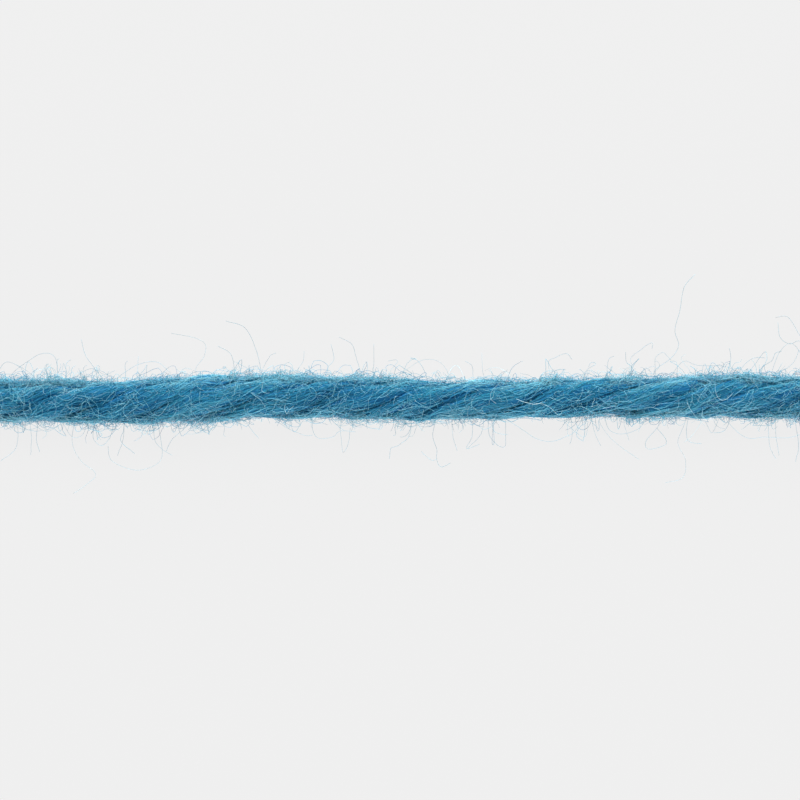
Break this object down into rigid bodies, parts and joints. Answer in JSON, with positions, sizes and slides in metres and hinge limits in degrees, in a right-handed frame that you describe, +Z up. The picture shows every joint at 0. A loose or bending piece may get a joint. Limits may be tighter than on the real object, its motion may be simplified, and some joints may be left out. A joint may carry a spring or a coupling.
{
  "type": "knitting yarn",
  "caption": "Cut length of soft plied wool knitting yarn lying straight, with S-twisted plies, a light halo of stray fibres and plainly cut, slightly sprung ends.",
  "frame": {"origin": "middle of the strand's length and width, on the surface that it lies on", "axes": "+X along the strand, +Z up; seen from above with +X to the right, the plies climb to the right"},
  "size_m": [0.069, 0.0034, 0.0032],
  "materials": {
    "wool": "matte dyed wool, sky blue to petrol blue, softly fuzzy"
  },
  "bodies": {
    "root": {"ply_1": "wool", "ply_2": "wool", "ply_3": "wool", "ply_4": "wool"}
  },
  "joints": []
}
